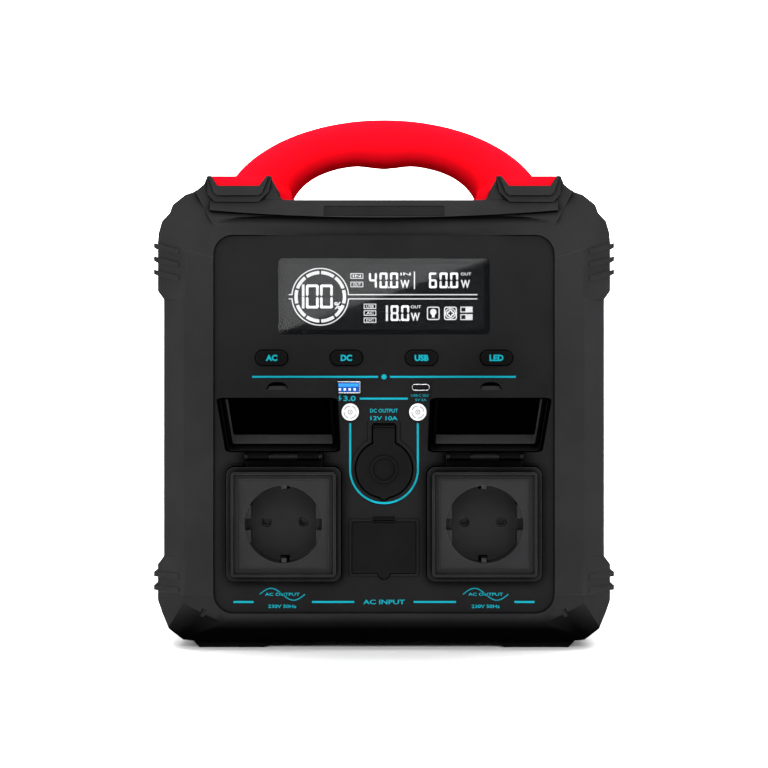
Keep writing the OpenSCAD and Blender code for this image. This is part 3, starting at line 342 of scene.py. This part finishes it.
def smooth_tree(angle):
    """Shades a mesh smooth wherever two faces meet at less than the angle."""
    tree = bpy.data.node_groups.new("smooth_faces", "GeometryNodeTree")
    tree.interface.new_socket("Geometry", in_out="INPUT", socket_type="NodeSocketGeometry")
    tree.interface.new_socket("Geometry", in_out="OUTPUT", socket_type="NodeSocketGeometry")
    make = tree.nodes.new
    source, sink = make("NodeGroupInput"), make("NodeGroupOutput")
    merge = make("GeometryNodeMergeByDistance")
    faces, edges = make("GeometryNodeSetShadeSmooth"), make("GeometryNodeSetShadeSmooth")
    merge.inputs["Distance"].default_value = WELD
    bend, sharp = make("GeometryNodeInputMeshEdgeAngle"), make("FunctionNodeCompare")
    sharp.inputs["B"].default_value = angle
    edges.domain = "EDGE"
    edges.inputs["Shade Smooth"].default_value = False
    for a, b in (
        (source.outputs[0], merge.inputs[0]), (merge.outputs[0], faces.inputs[0]),
        (faces.outputs[0], edges.inputs[0]), (bend.outputs["Unsigned Angle"], sharp.inputs["A"]),
        (sharp.outputs[0], edges.inputs["Selection"]),
        (edges.outputs[0], sink.inputs[0]),
    ):
        tree.links.new(a, b)
    return tree


SMOOTH = smooth_tree(SMOOTH_BELOW)
for node in FINISH:
    NODES[node].modifiers.new("smooth_faces", "NODES").node_group = SMOOTH


# ---------------------------------------------------------------- mesh helpers

def mesh_object(name, verts, faces, finish, body):
    data = bpy.data.meshes.new(name)
    data.from_pydata([tuple(v) for v in verts], [], faces)
    data.update()
    obj = bpy.data.objects.new(name, data)
    bpy.context.scene.collection.objects.link(obj)
    data.materials.append(MATERIALS[finish])
    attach(obj, body)
    return obj


class Relief:
    """Collects flat shapes drawn in X and Z, each raised from y_back to y_front, for one piece."""

    def __init__(self, y_front, y_back):
        self.y_front, self.y_back = y_front, y_back
        self.verts, self.faces = [], []

    def ring(self, outer, inner):
        """A closed band between two outlines of the same number of points."""
        start, n = len(self.verts), len(outer)
        for y in (self.y_front, self.y_back):
            self.verts += [(x, y, z) for x, z in outer] + [(x, y, z) for x, z in inner]
        for i in range(n):
            j = (i + 1) % n
            fo, fi, bo, bi = start, start + n, start + 2 * n, start + 3 * n
            self.faces += [
                (fo + i, fo + j, fi + j, fi + i), (bo + j, bo + i, bi + i, bi + j),
                (fo + j, fo + i, bo + i, bo + j), (fi + i, fi + j, bi + j, bi + i),
            ]

    def polygon(self, points):
        start, n = len(self.verts), len(points)
        for y in (self.y_front, self.y_back):
            self.verts += [(x, y, z) for x, z in points]
        self.faces.append(tuple(start + i for i in range(n)))
        self.faces.append(tuple(start + n + i for i in reversed(range(n))))
        for i in range(n):
            j = (i + 1) % n
            self.faces.append((start + j, start + i, start + n + i, start + n + j))

    def box(self, x0, x1, z0, z1):
        self.polygon([(x0, z0), (x1, z0), (x1, z1), (x0, z1)])

    def path(self, points, width):
        """A line of even width through points, mitred at its corners."""
        left, right = [], []
        for i, p in enumerate(points):
            before, after = points[max(i - 1, 0)], points[min(i + 1, len(points) - 1)]
            sides = []
            for a, b in ((before, p), (p, after)):
                length = math.dist(a, b)
                if length > 0:
                    sides.append(((a[1] - b[1]) / length, (b[0] - a[0]) / length))
            nx, nz = sum(s[0] for s in sides), sum(s[1] for s in sides)
            size = math.hypot(nx, nz)
            nx, nz = nx / size, nz / size
            reach = width / 2 / max(0.3, nx * sides[0][0] + nz * sides[0][1])
            left.append((p[0] + nx * reach, p[1] + nz * reach))
            right.append((p[0] - nx * reach, p[1] - nz * reach))
        for i in range(len(points) - 1):
            self.polygon([left[i], left[i + 1], right[i + 1], right[i]])

    def arc(self, cx, cz, radius, start, end, width, steps=24):
        """A bent band; its angles run clockwise from straight up."""
        angles = [math.radians(start + (end - start) * i / steps) for i in range(steps + 1)]
        near, far = radius - width / 2, radius + width / 2
        inner = [(cx + near * math.sin(a), cz + near * math.cos(a)) for a in angles]
        outer = [(cx + far * math.sin(a), cz + far * math.cos(a)) for a in angles]
        for i in range(steps):
            self.polygon([outer[i], outer[i + 1], inner[i + 1], inner[i]])

    def disc(self, cx, cz, radius, steps=32):
        turns = [2 * math.pi * i / steps for i in range(steps)]
        self.polygon([(cx + radius * math.cos(a), cz + radius * math.sin(a)) for a in turns])

    def words(self, text, cx, cz, height, width=None, weight=0.0):
        """Plain lettering, centred on a point; height is that of a capital letter."""
        curve = bpy.data.curves.new("lettering", "FONT")
        curve.body = text
        curve.align_x, curve.align_y = "CENTER", "CENTER"
        curve.offset = weight
        curve.resolution_u = 3
        obj = bpy.data.objects.new("lettering", curve)
        bpy.context.scene.collection.objects.link(obj)
        bpy.context.view_layer.update()
        flat = bpy.data.meshes.new_from_object(obj)
        bpy.data.objects.remove(obj)
        xs, ys = [v.co.x for v in flat.vertices], [v.co.y for v in flat.vertices]
        scale_z = height / (max(ys) - min(ys))
        scale_x = scale_z if width is None else width / (max(xs) - min(xs))
        mid_x, mid_y = (max(xs) + min(xs)) / 2, (max(ys) + min(ys)) / 2
        start = len(self.verts)
        self.verts += [
            (cx + (v.co.x - mid_x) * scale_x, self.y_front, cz + (v.co.y - mid_y) * scale_z)
            for v in flat.vertices
        ]
        self.faces += [tuple(start + i for i in p.vertices) for p in flat.polygons]
        bpy.data.meshes.remove(flat)

    def make(self, name, finish, body="case"):
        return mesh_object(name, self.verts, self.faces, finish, body)


# ---------------------------------------------------------------- display

SEGMENTS = {  # which of the seven strokes each digit lights: top, two upper, middle, two lower, bottom
    "0": "abcdef", "1": "bc", "4": "bcfg", "6": "acdefg", "8": "abcdefg",
}


def digit(relief, char, x, z, width, height, stroke):
    """A seven-stroke digit whose lower left corner is at (x, z)."""
    half, gap = height / 2, stroke * 0.12
    spans = {
        "a": ((0, height), (width, height)), "d": ((0, 0), (width, 0)), "g": ((0, half), (width, half)),
        "f": ((0, half), (0, height)), "e": ((0, 0), (0, half)),
        "b": ((width, half), (width, height)), "c": ((width, 0), (width, half)),
    }
    t = stroke / 2
    for name in SEGMENTS[char]:
        (x0, z0), (x1, z1) = spans[name]
        if z0 == z1:
            z0 = min(max(z0, t), height - t)
            x0, x1 = x0 + gap, x1 - gap
            points = [(x0 + t, z0 + t), (x0, z0), (x0 + t, z0 - t)]
            points += [(x1 - t, z0 - t), (x1, z0), (x1 - t, z0 + t)]
        else:
            x0 = min(max(x0, t), width - t)
            z0, z1 = z0 + gap, z1 - gap
            points = [(x0 - t, z0 + t), (x0, z0), (x0 + t, z0 + t)]
            points += [(x0 + t, z1 - t), (x0, z1), (x0 - t, z1 - t)]
        relief.polygon([(x + px, z + pz) for px, pz in points])


def reading(relief, text, x, z, height, pitch, width, stroke):
    """A row of digits with an optional decimal point; a leading 1 takes only its stroke's width."""
    for char in text:
        if char == ".":
            gap = pitch - width
            relief.box(x - gap / 2 - stroke * 0.3, x - gap / 2 + stroke * 0.3, z, z + stroke * 0.7)
            continue
        if char == "1":
            relief.box(x, x + stroke, z, z + height / 2 - stroke * 0.1)
            relief.box(x, x + stroke, z + height / 2 + stroke * 0.1, z + height)
            x += stroke + pitch - width
            continue
        digit(relief, char, x, z, width, height, stroke)
        x += pitch


def frame_box(relief, x0, x1, z0, z1, line):
    """A square-cornered frame, its line inside the given limits."""
    outlines = []
    for inset in (0, line):
        left, right, low, high = x0 + inset, x1 - inset, z0 + inset, z1 - inset
        outlines.append([(left, low), (right, low), (right, high), (left, high)])
    relief.ring(*outlines)


def ring_box(relief, x0, x1, z0, z1, radius, line):
    """A frame with round corners, on the display's grid."""
    outlines = []
    for inset in (0, line):
        r = radius - inset
        points = []
        for cx, cz, start in ((x1, z1, 0), (x0, z1, 90), (x0, z0, 180), (x1, z0, 270)):
            mx = cx - radius if cx == x1 else cx + radius
            mz = cz - radius if cz == z1 else cz + radius
            for step in range(5):
                a = math.radians(start + step * 22.5)
                points.append((px(mx + r * math.cos(a)), pz(mz + r * math.sin(a))))
        outlines.append(points)
    relief.ring(*outlines)


GRID = 0.506 * MM


def px(x):
    """The display is laid out on an even grid, counted from the window's middle."""
    return x * GRID


def pz(z):
    return WINDOW_Z + px(z)


def grid_box(relief, x0, x1, z0, z1, line=None):
    """A filled box on the display's grid, or a frame if a line width is given."""
    if line is None:
        relief.box(px(x0), px(x1), pz(z0), pz(z1))
    else:
        frame_box(relief, px(x0), px(x1), pz(z0), pz(z1), px(line))


def gauge(lit):
    """The round charge gauge: a split ring, ten segments and the reading in the middle."""
    x, z = px(-63.9), pz(-0.1)
    for start in (-86, 94):
        lit.arc(x, z, px(28.4), start, start + 172, px(1.1), 64)
    for i in range(10):
        lit.arc(x, z, px(24.3), i * 36 + 2.2, i * 36 + 33.8, px(3.3), 10)
    for z0 in (2.0, -2.2):
        grid_box(lit, -95.6, -92.0, z0 - 0.45, z0 + 0.45)
        grid_box(lit, -35.6, 93.6, z0 - 0.5, z0 + 0.5)
    reading(lit, "100", px(-82.3), pz(-11.8), px(24), px(14.2), px(12.8), px(2.6))
    lit.words("%", px(-46.5), pz(-9), px(7.4), px(6.8), weight=0.02)


def power_reading(lit, text, x, z, end_x, label):
    """A number of watts, with its unit and a small label over the unit."""
    reading(lit, text, px(x), pz(z), px(15.7), px(10.65), px(8.1), px(2.2))
    lit.words("W", px(end_x + 4.6), pz(z + 4.2), px(8.2), px(9.2), weight=0.03)
    lit.words(label, px(end_x + 5.2), pz(z + 14.2), px(2.9), px(10.4), weight=0.015)


def build_display():
    lit = Relief(MODULE_Y - 0.05 * MM, MODULE_Y)
    gauge(lit)
    for z in (18.0, 9.5):
        grid_box(lit, -33.6, -20.8, z, z + 5.5, 0.75)
        lit.words("IN" if z > 12 else "OUT", px(-27.2), pz(z + 2.75), px(2.8), px(8.2), weight=0.02)
    power_reading(lit, "40.0", -15.2, 8.5, 16.4, "IN")
    power_reading(lit, "60.0", 45.0, 8.5, 77.0, "OUT")
    grid_box(lit, 29.9, 31.1, 7.6, 25.2)
    for z, text in ((-12.3, "USB"), (-19.0, "AC"), (-26.2, "DC")):
        grid_box(lit, -20.3, -7.8, z, z + 5.2, 0.75)
        lit.words(text, px(-14), pz(z + 2.6), px(2.7), px(7.4), weight=0.02)
    power_reading(lit, "18.0", 1.8, -24.4, 26.8, "OUT")
    for x0 in (43.0, 60.2):
        ring_box(lit, x0, x0 + 12.8, -23.4, -10.0, 2.2, 1.1)
    bulb_x, bulb_z = px(49.4), pz(-15.4)
    lit.disc(bulb_x, bulb_z, px(3.2))
    lit.box(bulb_x - px(1.4), bulb_x + px(1.4), bulb_z - px(5.4), bulb_z - px(2.6))
    fan_x, fan_z = px(66.6), pz(-16.7)
    lit.arc(fan_x, fan_z, px(4.9), 0, 360, px(0.9), 32)
    for i in range(4):
        turn = i * math.pi / 2
        blade_x, blade_z = fan_x + px(1.7) * math.sin(turn), fan_z + px(1.7) * math.cos(turn)
        lit.arc(blade_x, blade_z, px(1.5), i * 90 - 60, i * 90 + 120, px(1.5), 8)
    for z in (-15.8, -23.4):
        grid_box(lit, 76.6, 82.6, z, z + 5.8, 0.9)
        grid_box(lit, 82.6, 88.8, z, z + 5.8)
    return lit.make("display_graphics", "glow")


build_display()


# ---------------------------------------------------------------- printed lines and words on the panel

PRINT = 0.05 * MM  # how far the print stands off the panel
OVER_RIM = 0.62 * MM  # how far it does where it runs over the rim of the cap's recess
LINE = 1.05 * MM  # width of the printed lines
TOP_LINE_Z = JACK_Z + 17.8 * MM
DC_LINE_Z = JACK_Z + 6.8 * MM
BOTTOM_LINE_Z = 24.6 * MM
WAVE_Z = 28.5 * MM  # the mark for alternating current under each mains socket
WAVE_X, WAVE_HALF, WAVE_HEIGHT = 51.4 * MM, 11.4 * MM, 3.0 * MM


def below_cap(angle):
    """A point on the half circle that joins the two DC jacks under the car socket's cap."""
    a = math.radians(angle)
    return (-JACK_X * math.cos(a), CAR_Z - JACK_X * math.sin(a))


def build_lines():
    lines = Relief(PANEL - PRINT, PANEL)
    for side in (-1, 1):
        lines.path([(side * 66.7 * MM, TOP_LINE_Z), (side * 3 * MM, TOP_LINE_Z)], LINE)
        for x0, x1 in ((76.1, 65.9), (36.4, 15)):
            lines.path([(side * x0 * MM, BOTTOM_LINE_Z), (side * x1 * MM, BOTTOM_LINE_Z)], LINE)
    lines.disc(0, TOP_LINE_Z, 1.35 * MM)
    lines.path([(-12.3 * MM, DC_LINE_Z), (12.1 * MM, DC_LINE_Z)], LINE)
    run_end = JACK_Z - 5.6 * MM
    run = [(-JACK_X, run_end), (-JACK_X, CAR_Z)]
    run += [below_cap(a) for a in range(6, 180, 6)]
    run += [(JACK_X, CAR_Z), (JACK_X, run_end)]
    lines.path(run, LINE)
    lines.make("panel_lines", "teal")
    crossing = Relief(PANEL - OVER_RIM, PANEL)
    crossing.path([below_cap(a) for a in range(114, 65, -4)], LINE)
    crossing.make("panel_line_crossing", "teal")


def build_words():
    words = Relief(PANEL - PRINT, PANEL)
    words.words("DC OUTPUT", 0, JACK_Z + 0.7 * MM, 1.9 * MM, 14 * MM, weight=0.01)
    words.words("12V 10A", 0, JACK_Z - 3.1 * MM, 2.1 * MM, 13.7 * MM, weight=0.01)
    words.words("3.0", -17.4 * MM, JACK_Z + 6.9 * MM, 2.6 * MM, 6.2 * MM, weight=0.02)
    bolt = [(-1.2, 0.0), (0.7, 2.2), (0.3, 0.4), (1.3, 0.3), (-0.7, -2.1), (-0.2, -0.1)]
    words.polygon([((-22.5 + x) * MM, JACK_Z + (6.9 + z) * MM) for x, z in bolt])
    words.words("USB-C OUT", USB_X, USB_Z - 4.1 * MM, 1.2 * MM, 9.8 * MM)
    words.words("5V 3A", USB_X, USB_Z - 6.3 * MM, 1.2 * MM, 5.6 * MM)
    words.words("AC INPUT", 0, BOTTOM_LINE_Z, 2.3 * MM, 21 * MM, weight=0.012)
    for side in (-1, 1):
        mid = side * WAVE_X
        steps = [i / 24 for i in range(49)]
        wave = [(mid + (t - 1) * WAVE_HALF, WAVE_Z + WAVE_HEIGHT * math.sin(t * math.pi)) for t in steps]
        words.path(wave, 0.5 * MM)
        words.words("AC OUTPUT", mid, WAVE_Z, 1.5 * MM, 17.5 * MM, weight=0.012)
        words.words("230V 50Hz", mid, 22.4 * MM, 1.7 * MM, 14.2 * MM, weight=0.012)
    words.make("panel_words", "teal")


def build_usb_a():
    """The port's blue tongue with its step and contacts."""
    front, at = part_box("usb_a_port")[0].y, middle("usb_a_port")
    tongue = Relief(front + 0.25 * MM, front + 1.6 * MM)
    tongue.box(at.x - 5.9 * MM, at.x + 5.9 * MM, at.z - 2.3 * MM, at.z + 2.3 * MM)
    tongue.make("usb_a_tongue", "blue")
    step = Relief(front + 0.15 * MM, front + 0.25 * MM)
    step.box(at.x - 5.7 * MM, at.x + 5.7 * MM, at.z + 0.3 * MM, at.z + 2.0 * MM)
    step.make("usb_a_step", "bright_blue")
    contacts = Relief(front + 0.1 * MM, front + 0.25 * MM)
    pitch, half = 1.25, 0.6
    for i in (-3, -1, 1, 3):
        left, right = at.x + (i * pitch - half) * MM, at.x + (i * pitch + half) * MM
        contacts.box(left, right, at.z - 1.7 * MM, at.z - 0.4 * MM)
    contacts.make("usb_a_contacts", "white")


def build_dc_jack(node):
    """The jack's face, the broken ring round it and the ring and dot in its middle."""
    front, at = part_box(node)[0].y, middle(node)
    face = Relief(front + 0.1 * MM, front + 1.2 * MM)
    face.disc(at.x, at.z, 2.78 * MM, 40)
    face.make(node + "_face", "white")
    rings = Relief(front - PRINT, front + 0.1 * MM)
    for start in (20, 110, 200, 290):
        rings.arc(at.x, at.z, 3.05 * MM, start, start + 68, 0.32 * MM, 16)
    rings.make(node + "_ring", "grey")
    core = Relief(front, front + 0.1 * MM)
    core.arc(at.x, at.z, 1.05 * MM, 0, 360, 0.3 * MM, 28)
    core.disc(at.x, at.z, 0.35 * MM, 20)
    core.make(node + "_core", "grey")


def build_usb_c():
    """The port's mouth, a dark flat oval standing for its black insulator and for painted shade inside the
    opening, with its tongue.
    """
    front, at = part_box("usb_c_port")[0].y, middle("usb_c_port")
    mouth = Relief(front + 0.3 * MM, front + 0.7 * MM)
    half_w, half_h = 4.12 * MM, 1.28 * MM
    outline = []
    for turn in range(-90, 270, 15):
        a = math.radians(turn)
        side = half_w - half_h if turn < 90 else half_h - half_w
        outline.append((at.x + side + half_h * math.cos(a), at.z + half_h * math.sin(a)))
    mouth.polygon(outline)
    mouth.make("usb_c_mouth", "rubber")
    tongue = Relief(front + 0.2 * MM, front + 0.3 * MM)
    tongue.box(at.x - 3.3 * MM, at.x + 3.3 * MM, at.z - 0.3 * MM, at.z + 0.3 * MM)
    tongue.make("usb_c_tongue", "panel")


def build_button_label(node, text):
    at = middle(node)
    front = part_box(node)[0].y
    label = Relief(front - PRINT, front)
    label.words(text, at.x, at.z, 3.2 * MM, weight=0.045)
    body = [b for b, members in frame["record"]["behaviour"]["bodies"].items() if node in members][0]
    label.make(node + "_label", "teal", body)


build_usb_a()
build_dc_jack("dc_jack_left")
build_dc_jack("dc_jack_right")
build_usb_c()
build_lines()
build_words()
build_button_label("ac_button", "AC")
build_button_label("dc_button", "DC")
build_button_label("usb_button", "USB")
build_button_label("led_button", "LED")


# ---------------------------------------------------------------- studio

def card(name, corners, colour, glow=0.0):
    """A flat studio surface through four corners: the floor, the backdrop or a lit card."""
    data = bpy.data.meshes.new(name)
    data.from_pydata(corners, [], [tuple(range(len(corners)))])
    obj = bpy.data.objects.new(name, data)
    bpy.context.scene.collection.objects.link(obj)
    mat, nodes, links, bsdf = new_material(name + "_look")
    bsdf.inputs["Base Color"].default_value = (*colour, 1)
    bsdf.inputs["Roughness"].default_value = 0.8
    bsdf.inputs["Specular IOR Level"].default_value = 0.1
    bsdf.inputs["Emission Color"].default_value = (1, 1, 1, 1)
    bsdf.inputs["Emission Strength"].default_value = glow
    data.materials.append(mat)


def soft_light(name, location, target, size, power, size_y=None):
    light = bpy.data.lights.new(name, "AREA")
    light.energy, light.size = power, size
    if size_y:
        light.shape, light.size_y = "RECTANGLE", size_y
    obj = bpy.data.objects.new(name, light)
    bpy.context.scene.collection.objects.link(obj)
    obj.location = location
    obj.rotation_euler = (Vector(target) - Vector(location)).to_track_quat("-Z", "Y").to_euler()


SIDE, NEAR, FAR, TOP = 6, -3, 3.5, 5  # the studio's walls
CENTRE = (0, 0.03, 0.13)  # what the lights point at
card(
    "studio_floor", [(-SIDE, NEAR, 0), (SIDE, NEAR, 0), (SIDE, FAR, 0), (-SIDE, FAR, 0)], (0.93, 0.93, 0.93)
)
card(
    "studio_backdrop", [(-SIDE, FAR, 0), (SIDE, FAR, 0), (SIDE, FAR, TOP), (-SIDE, FAR, TOP)],
    (0.9, 0.9, 0.9), glow=1.0,
)
world = bpy.data.worlds.new("studio")
bpy.context.scene.world = world
world.use_nodes = True
world.node_tree.nodes["Background"].inputs["Color"].default_value = (1, 1, 1, 1)
world.node_tree.nodes["Background"].inputs["Strength"].default_value = 0.1
soft_light("side_left", (-1.45, -0.55, 0.55), CENTRE, 1.0, 8, 1.0)
soft_light("side_right", (1.45, -0.55, 0.55), CENTRE, 1.0, 8, 1.0)
soft_light("floor_far", (0, 2.0, 2.2), (0, 2.0, 0), 5.0, 170, 2.2)
soft_light("overhead", (0, 0.1, 1.9), CENTRE, 2.2, 85, 1.6)
soft_light("front_high", (0, -2.0, 1.2), CENTRE, 2.2, 37, 1.0)
GLARE_CARD = [(-0.1224, 0.1954), (0.1212, 0.2793), (0.1212, 0.32), (-0.16, 0.32), (-0.16, 0.19)]
CARD_DISTANCE = 1.2  # behind the camera, where the display's window mirrors it
card("glare_card", [(x, PANEL - CARD_DISTANCE, z) for x, z in GLARE_CARD], (0.8, 0.8, 0.8), glow=0.08)
bpy.context.scene.view_settings.view_transform = "Standard"

CAMERA_DISTANCE = 0.92  # from the front panel
CAMERA_HEIGHT = 0.1348
camera_data = bpy.data.cameras.new("camera")
camera_data.lens = 85.3
camera_data.sensor_width = 36
camera_data.clip_start, camera_data.clip_end = 0.05, 60
camera = bpy.data.objects.new("camera", camera_data)
bpy.context.scene.collection.objects.link(camera)
camera.location = (0, PANEL - CAMERA_DISTANCE, CAMERA_HEIGHT)
camera.rotation_euler = (math.radians(90), 0, 0)
bpy.context.scene.camera = camera
